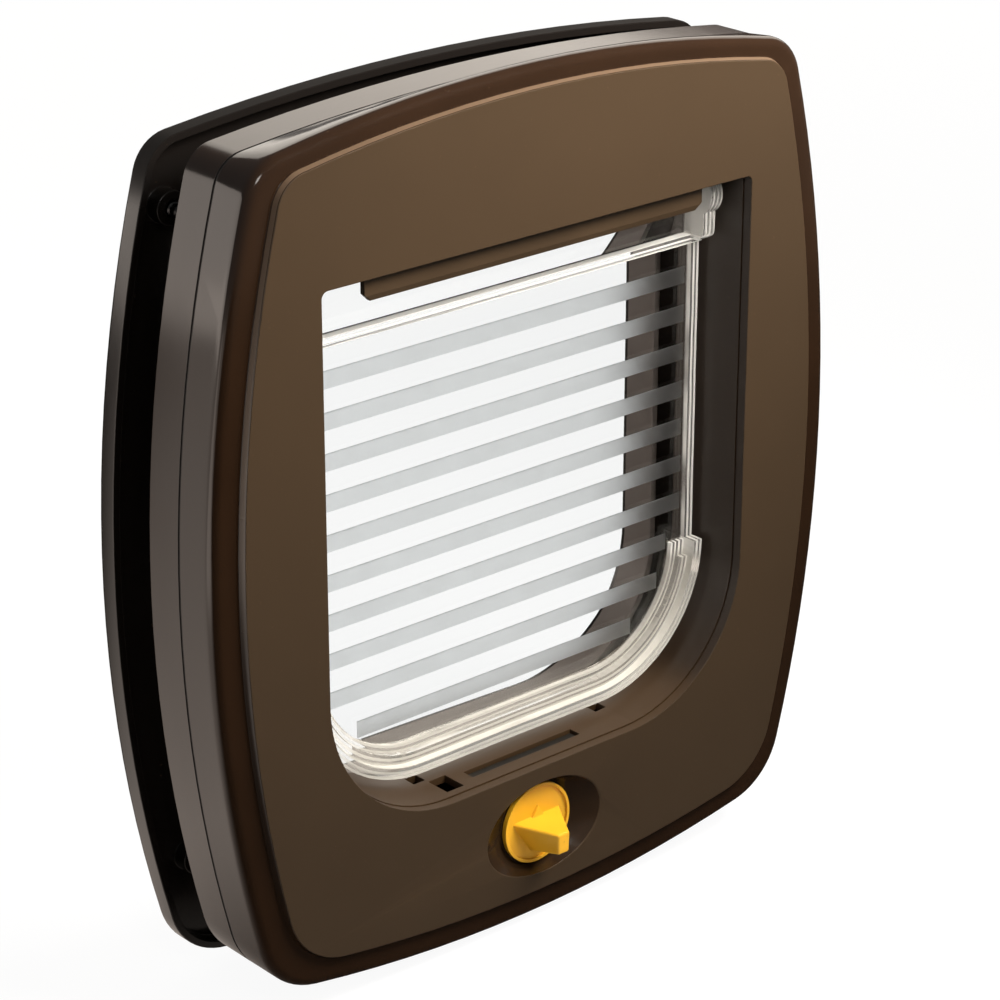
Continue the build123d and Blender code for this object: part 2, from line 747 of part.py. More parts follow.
def main():
    """Build every piece and write one file for each."""
    pieces = {
        "front_cover": front_cover(),
        "front_frame": front_frame(),
        "hinge_hood": hinge_hood(),
        "rear_frame": rear_frame(),
        "fixing_screws": fixing_screws(),
        "flap": flap(),
        "left_hinge_pin": hinge_pin(-1),
        "right_hinge_pin": hinge_pin(1),
        "lock_knob": lock_knob(),
        "cam_wheel": cam_wheel(),
        "knob_washer": knob_washer(),
        "knob_screw": knob_screw(),
        "front_catch": front_catch(),
        "rear_catch": rear_catch(),
        "guide_plate": guide_plate(),
        "guide_screws": guide_screws(),
        "leaf_spring": leaf_spring(),
    }
    os.makedirs("parts", exist_ok=True)
    for name, piece in pieces.items():
        piece.label = name
        export_step(piece, f"parts/{name}.step")
        print(name, "volume", round(piece.volume), "mm3")


main()
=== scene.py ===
# %% [markdown]
# # A pet door with a clear flap
#
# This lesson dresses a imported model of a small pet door. The model already has every piece at its
# true size: a cover, two frames that clamp the door leaf, a clear flap, a knob and a hidden lock.
# Here each visible piece gets soft moulded edges and a finish that reads as real plastic or steel.
# All lengths are in metres, in the model's own frame: X to the right as seen from indoors, Y through
# the door towards outdoors, Z up, with the origin in the middle of the passage.

import json
from math import cos, radians, sin, tau

import bmesh
import bpy
from mathutils import Matrix, Vector


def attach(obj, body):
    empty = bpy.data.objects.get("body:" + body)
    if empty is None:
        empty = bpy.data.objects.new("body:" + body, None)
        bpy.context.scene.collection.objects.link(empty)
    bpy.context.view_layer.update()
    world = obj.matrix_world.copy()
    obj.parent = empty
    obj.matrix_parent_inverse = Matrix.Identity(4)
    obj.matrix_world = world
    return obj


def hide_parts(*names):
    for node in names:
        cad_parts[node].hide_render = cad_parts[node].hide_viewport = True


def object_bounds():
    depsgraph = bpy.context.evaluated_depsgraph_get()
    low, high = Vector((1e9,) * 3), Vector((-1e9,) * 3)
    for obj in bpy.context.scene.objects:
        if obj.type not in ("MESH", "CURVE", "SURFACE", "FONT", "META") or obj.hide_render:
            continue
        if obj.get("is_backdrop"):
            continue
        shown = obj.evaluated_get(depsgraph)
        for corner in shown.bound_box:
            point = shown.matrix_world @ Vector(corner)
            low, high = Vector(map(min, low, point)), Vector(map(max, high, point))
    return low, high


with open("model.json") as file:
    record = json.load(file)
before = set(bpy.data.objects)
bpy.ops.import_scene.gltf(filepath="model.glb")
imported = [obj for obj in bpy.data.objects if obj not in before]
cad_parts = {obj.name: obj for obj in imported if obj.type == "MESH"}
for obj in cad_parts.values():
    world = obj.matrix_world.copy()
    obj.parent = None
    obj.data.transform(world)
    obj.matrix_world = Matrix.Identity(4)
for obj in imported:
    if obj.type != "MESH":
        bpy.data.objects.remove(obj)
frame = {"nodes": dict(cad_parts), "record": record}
cad_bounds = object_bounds()
mm = 0.001
print("pieces in the model:", len(frame["nodes"]))

# %% [markdown]
# ## Camera
#
# A camera can be placed by eye, or worked out from edges whose real lengths are known. This one was
# worked out: it stands to the left of the door and a little above it, with a long lens, so the
# upright edges stay almost parallel.

# %% Camera
azimuth, elevation, roll = radians(-41.42), radians(22.58), radians(0.04)
lens_mm, sensor_mm = 115.70, 36.0
camera_place = Vector((-535.21, -615.58, 332.65)) * mm

towards_camera = Vector((sin(azimuth) * cos(elevation), -cos(azimuth) * cos(elevation), sin(elevation)))
level_right = Vector((0, 0, 1)).cross(towards_camera).normalized()
level_up = towards_camera.cross(level_right)
right = cos(roll) * level_right + sin(roll) * level_up
up = -sin(roll) * level_right + cos(roll) * level_up

camera_data = bpy.data.cameras.new("camera")
camera_data.lens = lens_mm
camera_data.sensor_width = sensor_mm
camera_data.clip_start = 0.01
camera = bpy.data.objects.new("camera", camera_data)
bpy.context.scene.collection.objects.link(camera)
turned = Matrix((right, up, towards_camera)).transposed().to_4x4()
camera.matrix_world = Matrix.Translation(camera_place) @ turned
bpy.context.scene.camera = camera
print("camera distance from the passage:", round(camera_place.length, 3), "m")

# %% [markdown]
# ## Writing materials as sums
#
# A material is a tree of nodes. Wiring each node by hand hides the idea behind it, so a small class
# wraps a socket and turns +, - and * into Math nodes. Every other node comes from one method, which
# sets the node's own settings first and then its inputs.


# %% Shader maths
class Wire:
    """One output socket of a material's tree, which can be used in sums."""

    def __init__(self, finish, socket):
        self.finish = finish
        self.socket = socket

    def __add__(self, other):
        return self.finish.math("ADD", self, other)

    __radd__ = __add__

    def __sub__(self, other):
        return self.finish.math("SUBTRACT", self, other)

    def __rsub__(self, other):
        return self.finish.math("SUBTRACT", other, self)

    def __mul__(self, other):
        return self.finish.math("MULTIPLY", self, other)

    __rmul__ = __mul__


class Finish:
    """A material that is written node by node."""

    def __init__(self, name):
        self.material = bpy.data.materials.new(name)
        self.material.use_nodes = True
        self.tree = self.material.node_tree
        self.tree.nodes.clear()

    def node(self, kind, settings=None, inputs=None, output=0):
        """Adds a node, its settings first and then its inputs, and returns one of its outputs."""
        made = self.tree.nodes.new("ShaderNode" + kind)
        for key, value in (settings or {}).items():
            setattr(made, key, value)
        for key, value in (inputs or {}).items():
            if isinstance(value, Wire):
                self.tree.links.new(value.socket, made.inputs[key])
            else:
                made.inputs[key].default_value = value
        return Wire(self, made.outputs[output])

    def math(self, operation, *values):
        """Adds a Math node."""
        return self.node("Math", {"operation": operation}, dict(enumerate(values)))

    def blend(self, mask, first, second):
        """Mixes two colours by a mask."""
        return self.node("Mix", {"data_type": "RGBA"}, {0: mask, 6: first, 7: second}, 2)

    def noise(self, size, detail=2.0, stretch=(1, 1, 1)):
        """Cloudy pattern whose lumps are about that size in metres."""
        place = self.node("TexCoord", output="Object")
        place = self.node("Mapping", {}, {"Vector": place, "Scale": stretch})
        return self.node("TexNoise", {}, {"Vector": place, "Scale": 1 / size, "Detail": detail})

    def step(self, value, low, high):
        """0 below low, 1 above high and smooth between them."""
        settings = {"interpolation_type": "SMOOTHSTEP"}
        return self.node("MapRange", settings, {"Value": value, "From Min": low, "From Max": high})

    def between(self, value, low, high, soft):
        """1 between low and high, with a smooth rise and fall inside them."""
        return self.step(value, low, low + soft) * (1 - self.step(value, high - soft, high))

    def along(self, axis):
        """Place on the piece along X, Y or Z."""
        place = self.node("TexCoord", output="Object")
        return self.node("SeparateXYZ", {}, {0: place}, "XYZ".index(axis))

    def close(self, surface):
        """Connects the surface to the material's output and returns the material."""
        end = self.tree.nodes.new("ShaderNodeOutputMaterial")
        self.tree.links.new(surface.socket, end.inputs["Surface"])
        return self.material


def shade(colour, factor):
    """The colour, lighter or darker by a factor, as red, green, blue and 1."""
    return (*(min(1.0, part * factor) for part in colour), 1.0)


# %% [markdown]
# ## Moulded plastic
#
# Injection-moulded plastic is never one flat colour. The melt leaves faint clouds, the mould's skin
# is very finely textured, handling polishes some places more than others, and a little dust settles
# on it. Each of these is a noise at its own scale: clouds at some 30 mm feed the colour and, with
# streaks of 9 mm, the roughness, a grain of 0.3 mm feeds a Bump node, and sparse specks lighten the
# colour. A Bevel node under the bump rounds edges that the mesh leaves sharp.
#
# Some faces of the moulds are etched to a satin skin that scatters more light: the cover's flat panel
# and dish, and the passage. Rims and outer walls are polished. Each kind of skin is a mask, a colour
# and a roughness, and one finish takes any number of them. A painted mask would have to be unwrapped
# and stored. These masks need neither: each one is worked out from the place on the piece.
# Some skins are painted light and shade rather than mould skins: a painted highlight on the step round
# the panel, painted shade in the seam and over the rear frame, painted light in its collar.

# %% Where each skin lies
panel_y = -28.0 * mm
seam_front_y = -12.95 * mm
seam_back_y = -11.85 * mm
passage_half_width = 77.0 * mm
passage_half_height = 79.5 * mm
sill_z = -74.0 * mm
dish_z = -96.6 * mm
dish_half_width = 22.0 * mm
dish_half_height = 14.5 * mm
collar_z = -4.0 * mm
collar_half_height = 82.0 * mm
collar_back_y = 20.85 * mm


def within(finish, half_width, half_height, middle_z=0.0, soft=1.0 * mm):
    """1 inside a rectangle round the middle, seen from the front."""
    across = finish.math("ABSOLUTE", finish.along("X"))
    upright = finish.math("ABSOLUTE", finish.along("Z") - middle_z)
    inside_x = 1 - finish.step(across, half_width, half_width + soft)
    return inside_x * (1 - finish.step(upright, half_height, half_height + soft))


def on_panel(finish):
    """1 on the front face of the cover's panel."""
    return 1 - finish.step(finish.along("Y"), panel_y + 0.1 * mm, panel_y + 0.4 * mm)


def on_step(finish):
    """1 on the slanted step round the panel, fading out downwards; the step gets a painted highlight
    there.
    """
    slant = finish.between(finish.along("Y"), panel_y + 0.3 * mm, panel_y + 1.8 * mm, 0.2 * mm)
    return slant * finish.step(finish.along("Z"), -20 * mm, 50 * mm)


def in_seam(finish):
    """1 where the cover meets the front frame; the seam is painted near black there as painted shade.
    """
    return finish.between(finish.along("Y"), seam_front_y, seam_back_y, 0.2 * mm)


def in_dish(finish):
    """1 in the dish round the knob."""
    return within(finish, dish_half_width, dish_half_height, dish_z) * (1 - on_panel(finish))


def in_passage(finish):
    """1 inside the passage, behind the panel's face."""
    return within(finish, passage_half_width, passage_half_height) * (1 - on_panel(finish))


def on_sill(finish):
    """1 on the floor of the passage."""
    return in_passage(finish) * (1 - finish.step(finish.along("Z"), sill_z, sill_z + 8 * mm))


def in_collar(finish):
    """1 inside the rear frame's collar, which stands a little lower, up to its back edge; painted light
    makes it pale there.
    """
    inside = within(finish, passage_half_width, collar_half_height, collar_z)
    return inside * (1 - finish.step(finish.along("Y"), collar_back_y - 0.25 * mm, collar_back_y))


def on_top(finish):
    """1 along the upper edge."""
    return finish.step(finish.along("Z"), 92 * mm, 104 * mm)


print("panel's face at", round(panel_y / mm, 1), "mm, sill at", round(sill_z / mm, 1), "mm")

# %% Moulded plastic finish
cloud_size = 30.0 * mm
streak_size = 9.0 * mm
pore_size = 0.3 * mm
speck_size = 1.3 * mm
dust_brown = (0.1075, 0.0675, 0.0370, 1.0)


def moulded_plastic(name, colour, roughness, skins=()):
    """Opaque plastic with clouds, grain, worn gloss, a little dust and etched skins."""
    finish = Finish(name)
    clouds = finish.noise(cloud_size, 3.0)
    streaks = finish.noise(streak_size, 4.0, (1.0, 1.0, 0.25))
    pores = finish.noise(pore_size, 2.0)
    specks = finish.step(finish.noise(speck_size, 1.0), 0.77, 0.80)
    tone = finish.blend(finish.step(clouds, 0.35, 0.65), shade(colour, 0.93), shade(colour, 1.08))
    gloss = roughness + (clouds - 0.5) * 0.06 + (streaks - 0.5) * 0.05
    relief = 0.3
    for where, skin_colour, skin_roughness in skins:
        mask = where(finish)
        skin = finish.blend(clouds, shade(skin_colour, 0.92), shade(skin_colour, 1.08))
        tone = finish.blend(mask, tone, skin)
        gloss = gloss + mask * (skin_roughness - gloss)
        relief = relief + mask * (0.8 - relief)
    tone = finish.blend(specks * 0.2, tone, dust_brown)
    rounded = finish.node("Bevel", {"samples": 4}, {"Radius": 0.25 * mm})
    bump = {"Strength": relief, "Distance": 0.004 * mm, "Height": pores, "Normal": rounded}
    normal = finish.node("Bump", {}, bump)
    plastic = {"Base Color": tone, "Roughness": gloss, "Normal": normal, "IOR": 1.50}
    return finish.close(finish.node("BsdfPrincipled", {}, plastic))


# %% Mix the plastics
satin_brown = (0.0430, 0.0270, 0.0148)
polished_brown = (0.0165, 0.0078, 0.0036)
# the rear frame's dark plastic, darkened further to near black as painted shade for the deep gap
rear_dark_and_painted_shade = (0.0060, 0.0046, 0.0038)
# painted highlight on the lit slant of the step round the panel
painted_step_highlight = (0.105, 0.068, 0.042)
# painted shade in the seam between the cover and the front frame
painted_seam_shade = (0.0025, 0.0015, 0.0010)
passage_brown = (0.019, 0.0105, 0.0050)
sill_brown = (0.042, 0.0235, 0.0110)
dish_brown = (0.020, 0.0110, 0.0055)
# painted light: the inside of the rear frame's collar is painted pale grey
painted_collar_light = (0.15, 0.125, 0.110)
knob_yellow = (0.76, 0.39, 0.020)
lock_black = (0.010, 0.0085, 0.0070)
cover_skins = [
    (in_seam, painted_seam_shade, 0.75),
    (on_panel, satin_brown, 0.36),
    # painted highlight on the step's slant
    (on_step, painted_step_highlight, 0.34),
    (in_dish, dish_brown, 0.22),
    (in_passage, passage_brown, 0.40),
    (on_sill, sill_brown, 0.42),
]
cover_plastic = moulded_plastic("brown_cover_plastic", polished_brown, 0.12, cover_skins)
hood_plastic = moulded_plastic("brown_satin_plastic", satin_brown, 0.36)
frame_skins = [
    (in_seam, painted_seam_shade, 0.75),
    (in_passage, passage_brown, 0.36),
    (on_sill, sill_brown, 0.42),
]
frame_plastic = moulded_plastic("brown_frame_plastic", polished_brown, 0.16, frame_skins)
# the rear frame is near black as painted shade and pale inside its collar as painted light
rear_skins = [
    (on_top, rear_dark_and_painted_shade, 0.90),
    (in_collar, painted_collar_light, 0.40),
]
rear_plastic = moulded_plastic("black_brown_plastic", rear_dark_and_painted_shade, 0.20, rear_skins)
knob_plastic = moulded_plastic("yellow_plastic", knob_yellow, 0.34)
lock_plastic = moulded_plastic("black_plastic", lock_black, 0.50)
print("plastics:", [made.name for made in bpy.data.materials])

# %% [markdown]
# ## Plated steel
#
# Pins, screws and the leaf spring are zinc-plated steel. Metal colour sits in Base Color with
# Metallic at 1, and drawn wire shows fine lines along its length, so the noise is stretched. The
# four long screws sit in the dark gap between the frames, so their steel is painted near black as
# painted shade.


# %% Steel finish
def plated_steel(name, stretch, dark=(0.50, 0.50, 0.49, 1), pale=(0.66, 0.66, 0.64, 1)):
    """Zinc-plated steel with drawing lines."""
    finish = Finish(name)
    lines = finish.noise(0.4 * mm, 2.0, stretch)
    clouds = finish.noise(4 * mm, 2.0)
    tone = finish.blend(clouds, dark, pale)
    gloss = 0.24 + lines * 0.16
    normal = finish.node("Bump", {}, {"Strength": 0.3, "Distance": 0.01 * mm, "Height": lines})
    metal = {"Base Color": tone, "Roughness": gloss, "Metallic": 1.0, "Normal": normal}
    return finish.close(finish.node("BsdfPrincipled", {}, metal))


drawn_along_x = (0.08, 1, 1)
drawn_along_y = (1, 0.08, 1)
# painted shade: near-black steel for the long screws in the gap between the frames
black = (0.030, 0.030, 0.032, 1)
dark_grey = (0.055, 0.055, 0.055, 1)
steel_along_x = plated_steel("steel_drawn_along_x", drawn_along_x)
steel_along_y = plated_steel("steel_drawn_along_y", drawn_along_y)
shaded_screw_steel = plated_steel("steel_painted_dark_as_shade", drawn_along_y, black, dark_grey)

# %% [markdown]
# ## Clear plastic
#
# The flap is clear moulded plastic. It could be faked with a low alpha, but then its thick rims would
# look thin. Real refraction makes them bright and dark by turns, as clear mouldings are. The rims are
# stacked ridges that pipe light to their edges, and that light is painted on: a matt white shader is
# mixed in as a faint haze and as white lines along them, a painted highlight that is greyer on the
# low rim. The lines follow the flap's outline, so the finish works out the distance from that
# outline: a straight side and a round corner share one formula, the length of what reaches past the
# corner's centre. Along the rib across the top, the lines follow the height instead. Light that only
# casts a shadow passes straight through, because a clear flap hardly darkens what is behind it.

# %% Lines along the flap's rims
flap_half_width = 72.7 * mm
flap_bottom_z = -73.6 * mm
corner_radius = 39.7 * mm
corner_x = flap_half_width - corner_radius
corner_z = flap_bottom_z + corner_radius
top_rib_z = 58.0 * mm
line_pitch = 1.5 * mm
fine_line_pitch = 0.62 * mm


def ripple(finish, distance, pitch):
    """Wave from -1 to 1 that repeats once for every pitch."""
    return finish.math("SINE", distance * (tau / pitch))


def rim_lines(finish):
    """Painted highlights: white lines along the rims, at even distances from the flap's outline."""
    across = finish.math("MAXIMUM", finish.math("ABSOLUTE", finish.along("X")) - corner_x, 0.0)
    below = finish.math("MAXIMUM", corner_z - finish.along("Z"), 0.0)
    inset = corner_radius - finish.math("SQRT", across * across + below * below)
    level = finish.along("Z") - top_rib_z
    on_rib = finish.between(level, -3.0 * mm, 0.8 * mm, 0.2 * mm)
    inset = inset + on_rib * (level - inset)
    inset = inset + (finish.noise(20 * mm, 1.0) - 0.5) * (0.5 * mm)
    wave = ripple(finish, inset, line_pitch) + ripple(finish, inset, fine_line_pitch) * 0.4
    return finish.step(wave, -0.7, 0.9)


print("corners of the flap have a radius of", round(corner_radius / mm, 1), "mm")

# %% Clear plastic finish
flap_plate_y = -8.5 * mm
ridge_depth = 0.9 * mm
low_rim_z = -36.0 * mm
ear_z = 58.6 * mm
# painted highlights on the thick rims: pale above, greyer on the low rim
pale_painted_highlight = (0.92, 0.90, 0.85, 1)
grey_painted_highlight = (0.62, 0.595, 0.535, 1)


def clear_plastic(name, roughness, tint, shadow_pass, highlight_strength):
    """Refracting plastic with faint flow marks, and painted highlights as white lines where it is
    thick.
    """
    finish = Finish(name)
    flow = finish.noise(14 * mm, 2.0)
    normal = finish.node("Bump", {}, {"Strength": 0.12, "Distance": 0.05 * mm, "Height": flow})
    gloss = roughness + finish.noise(6 * mm, 2.0) * roughness * 0.4
    refracting = {"Base Color": tint, "Roughness": gloss, "IOR": 1.49, "Transmission Weight": 1.0}
    clear = finish.node("BsdfPrincipled", {}, {**refracting, "Normal": normal})
    low = 1 - finish.step(finish.along("Z"), low_rim_z - 4 * mm, low_rim_z)
    highlight_tone = finish.blend(low, pale_painted_highlight, grey_painted_highlight)
    # a matt white shader that stands in for light piped along the rims: a painted highlight
    painted_highlight = finish.node("BsdfPrincipled", {}, {"Base Color": highlight_tone, "Roughness": gloss})
    thick = 1 - finish.step(finish.along("Y"), flap_plate_y - ridge_depth, flap_plate_y)
    ear = finish.step(finish.along("Z"), ear_z, ear_z + 0.6 * mm)
    lines = 0.12 + low * 0.30 + rim_lines(finish) * (0.88 - low * 0.30)
    highlight_share = thick * highlight_strength * (1 - ear * 0.4 - low * 0.2) * lines
    body = finish.node("MixShader", {}, {0: highlight_share, 1: clear, 2: painted_highlight})
    passing = finish.node("BsdfTransparent", {}, {"Color": (0.93, 0.94, 0.94, 1)})
    shadow_ray = finish.node("LightPath", output="Is Shadow Ray")
    surface = finish.node("MixShader", {}, {0: shadow_ray * shadow_pass, 1: body, 2: passing})
    return finish.close(surface)


flap_plastic = clear_plastic("clear_plastic", 0.015, (0.975, 0.985, 0.985, 1), 0.9, 0.88)
band_plastic = clear_plastic("frosted_plastic", 0.32, (0.93, 0.95, 0.95, 1), 0.8, 0.0)

# %% [markdown]
# ## Finished pieces from the model's shapes
#
# The model's shapes are exact, but their edges are knife-sharp and their meshes are loose triangles.
# Redrawing each piece would risk losing its exact fit. So a copy is merged into one skin, flat areas
# are cleaned of needless edges, and a Bevel modifier rounds what a mould would round. The rounding
# is chosen for each piece: a glossy cover has softer edges than a thin lock part.


# %% Merge, clean and round a copy
def rounded_copy(node, piece_name, material, width, segments=2, sharp=radians(28)):
    """Copy of a node with merged, rounded edges that takes the node's place."""
    mesh = frame["nodes"][node].data.copy()
    mesh.name = piece_name
    work = bmesh.new()
    work.from_mesh(mesh)
    bmesh.ops.remove_doubles(work, verts=work.verts, dist=2e-6)
    bmesh.ops.dissolve_degenerate(work, edges=work.edges, dist=2e-6)
    bmesh.ops.dissolve_limit(work, angle_limit=radians(0.4), verts=work.verts, edges=work.edges)
    work.to_mesh(mesh)
    work.free()
    mesh.materials.clear()
    mesh.materials.append(material)
    mesh.shade_smooth()
    mesh.set_sharp_from_angle(angle=sharp)
    piece = bpy.data.objects.new(piece_name, mesh)
    bpy.context.scene.collection.objects.link(piece)
    rounding = piece.modifiers.new("rounding", "BEVEL")
    rounding.width = width
    rounding.segments = segments
    rounding.limit_method = "ANGLE"
    rounding.angle_limit = sharp
    rounding.harden_normals = True
    rounding.use_clamp_overlap = True
    make_plain(piece)
    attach(piece, body_of_node[node])
    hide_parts(node)
    print(piece_name, "has", len(piece.data.polygons), "faces")


def make_plain(piece):
    """Turns the piece and its modifiers into a plain mesh."""
    evaluated = piece.evaluated_get(bpy.context.evaluated_depsgraph_get())
    mesh = bpy.data.meshes.new_from_object(evaluated)
    piece.modifiers.clear()
    piece.data = mesh
    mesh.name = piece.name


body_of_node = {
    node: body for body, members in frame["record"]["behaviour"]["bodies"].items() for node in members
}

# %% [markdown]
# ## Cover and frames
#
# The cover is the piece that the eye meets first: a raised panel with a step round it, a broad
# rounded rim and a dish for the knob. Its edges are rounded by 0.45 mm in three steps, and those of
# the other three pieces a little less, in two.

# %% Dress the cover and the frames
rounded_copy("front_cover", "cover", cover_plastic, 0.45 * mm, 3)
rounded_copy("front_frame", "inner_frame", frame_plastic, 0.4 * mm)
rounded_copy("hinge_hood", "hood", hood_plastic, 0.3 * mm)
rounded_copy("rear_frame", "outer_frame", rear_plastic, 0.35 * mm)

# %% [markdown]
# ## Flap
#
# The flap is one clear moulding: a plate with thin side rims, a deeper stepped rim round its lower
# half, a rib across its top and two hinge barrels. Its edges are rounded so that they catch the light.

# %% Dress the flap
rounded_copy("flap", "clear_flap", flap_plastic, 0.3 * mm)

# %% [markdown]
# ## Knob
#
# The knob is a shallow yellow dish with a tapered grip, which people hold between finger and thumb.
# The two black catches, which it raises through the sill, get finer edges.

# %% Dress the knob and the catches
rounded_copy("lock_knob", "knob", knob_plastic, 0.25 * mm, 3)
rounded_copy("front_catch", "indoor_catch", lock_plastic, 0.2 * mm)
rounded_copy("rear_catch", "outdoor_catch", lock_plastic, 0.2 * mm)

# %% [markdown]
# ## Frosted bands
#
# Ten frosted bands run across the flap so that an animal sees it. They could be painted with a mask,
# but they are easier to keep true as thin pieces laid on the plate. A Geometry Nodes tree makes them
# from a line of points: each point gets a thin block, as wide as the plate is at that height. Near
# the round lower corners the width follows the circle's formula.


# %% Geometry Nodes helper
class Builder:
    """A Geometry Nodes tree that is written node by node."""

    def __init__(self, name):
        self.tree = bpy.data.node_groups.new(name, "GeometryNodeTree")
        self.tree.interface.new_socket("Geometry", in_out="OUTPUT", socket_type="NodeSocketGeometry")
        self.inputs = None

    def named(self, name, value):
        """Named input of the tree, with its value."""
        kind = "NodeSocketInt" if isinstance(value, int) else "NodeSocketFloat"
        socket = self.tree.interface.new_socket(name, in_out="INPUT", socket_type=kind)
        socket.default_value = value
        if self.inputs is None:
            self.inputs = self.tree.nodes.new("NodeGroupInput")
        return self.inputs.outputs[name]

    def node(self, kind, settings=None, inputs=None, output=0):
        """Adds a node, its settings first and then its inputs, and returns one of its outputs."""
        made = self.tree.nodes.new(kind)
        for key, value in (settings or {}).items():
            setattr(made, key, value)
        for key, value in (inputs or {}).items():
            for one in value if isinstance(value, list) else [value]:
                if isinstance(one, bpy.types.NodeSocket):
                    self.tree.links.new(one, made.inputs[key])
                else:
                    made.inputs[key].default_value = one
        return made.outputs[output]

    def math(self, operation, *values):
        """Adds a Math node."""
        return self.node("ShaderNodeMath", {"operation": operation}, dict(enumerate(values)))

    def vector(self, x, y, z):
        """Adds a Combine XYZ node."""
        return self.node("ShaderNodeCombineXYZ", {}, {0: x, 1: y, 2: z})

    def close(self, geometry, material):
        """Realizes the instances, sets the material and connects the output."""
        real = self.node("GeometryNodeRealizeInstances", {}, {0: geometry})
        dressed = self.node("GeometryNodeSetMaterial", {}, {"Geometry": real, "Material": material})
        end = self.tree.nodes.new("NodeGroupOutput")
        self.tree.links.new(dressed, end.inputs[0])
        return self.tree


def grown_piece(tree, piece_name, body, node=None, smooth=None):
    """Plain mesh made by a Geometry Nodes tree, riding on a body."""
    piece = bpy.data.objects.new(piece_name, bpy.data.meshes.new(piece_name))
    bpy.context.scene.collection.objects.link(piece)
    piece.modifiers.new("grown", "NODES").node_group = tree
    make_plain(piece)
    if smooth is not None:
        piece.data.shade_smooth()
        piece.data.set_sharp_from_angle(angle=smooth)
    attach(piece, body)
    if node:
        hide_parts(node)
    print(piece_name, "has", len(piece.data.polygons), "faces")


# %% Frosted bands tree
def frosted_bands():
    """Thin frosted blocks on the flap's plate, with a fine lip along the top of each."""
    tree = Builder("frosted bands")
    count = tree.named("Count", 10)
    top = tree.named("First Top Edge", 47.9 * mm)
    pitch = tree.named("Pitch", 11.4 * mm)
    height = tree.named("Band Height", 5.0 * mm)
    half_width = tree.named("Half Width", 69.4 * mm)
    low_half_width = tree.named("Low Half Width", 64.3 * mm)
    foot_top = tree.named("Foot Top", -34.6 * mm)
    corner = tree.named("Corner Radius", 31.3 * mm)
    corner_level = tree.named("Corner Height", -33.9 * mm)
    plate_y = tree.named("Plate Front", -8.23 * mm)
    thickness = tree.named("Thickness", 0.04 * mm)
    lip = tree.named("Lip Height", 0.28 * mm)

    def row(height_socket, first_z, deep, foot):
        """One row of blocks down the plate; foot is how far a band reaches below a block's middle."""
        start = tree.vector(0.0, plate_y, first_z)
        offset = tree.vector(0.0, 0.0, tree.math("MULTIPLY", pitch, -1.0))
        steps = {"Count": count, "Start Location": start, "Offset": offset}
        line = tree.node("GeometryNodeMeshLine", {}, steps)
        place = tree.node("GeometryNodeInputPosition")
        middle = tree.node("ShaderNodeSeparateXYZ", {}, {0: place}, 2)
        z = tree.math("SUBTRACT", middle, foot)
        low = tree.math("MINIMUM", tree.math("SUBTRACT", z, corner_level), 0.0)
        corner_squared = tree.math("MULTIPLY", corner, corner)
        chord = tree.math("SUBTRACT", corner_squared, tree.math("MULTIPLY", low, low))
        pulled_in = tree.math("SUBTRACT", corner, tree.math("SQRT", tree.math("MAXIMUM", chord, 0.0)))
        below = tree.math("LESS_THAN", z, foot_top)
        low_width = tree.math("SUBTRACT", low_half_width, pulled_in)
        half = tree.node("ShaderNodeMix", {}, {0: below, 2: half_width, 3: low_width})
        width = tree.math("MULTIPLY", half, 2.0)
        block = tree.node("GeometryNodeMeshCube", {}, {"Size": (1.0, 1.0, 1.0)})
        size = tree.vector(width, deep, height_socket)
        inputs = {"Points": line, "Instance": block, "Scale": size}
        return tree.node("GeometryNodeInstanceOnPoints", {}, inputs)

    half = tree.math("MULTIPLY", height, 0.5)
    half_lip = tree.math("MULTIPLY", lip, 0.5)
    bands = row(height, tree.math("SUBTRACT", top, half), thickness, half)
    lip_thickness = tree.math("MULTIPLY", thickness, 3.0)
    lip_foot = tree.math("SUBTRACT", height, half_lip)
    lips = row(lip, tree.math("SUBTRACT", top, half_lip), lip_thickness, lip_foot)
    both = tree.node("GeometryNodeJoinGeometry", {}, {0: [bands, lips]})
    return tree.close(both, band_plastic)


grown_piece(frosted_bands(), "frosted_bands", "flap")

# %% [markdown]
# ## Long screws
#
# Four long screws pull the two frames together through the door leaf. They are the same, so one is
# built and placed on the corners of a rectangle. The thread is a spiral with a three-sided profile,
# swept along its path; the head has a cross cut out of it.


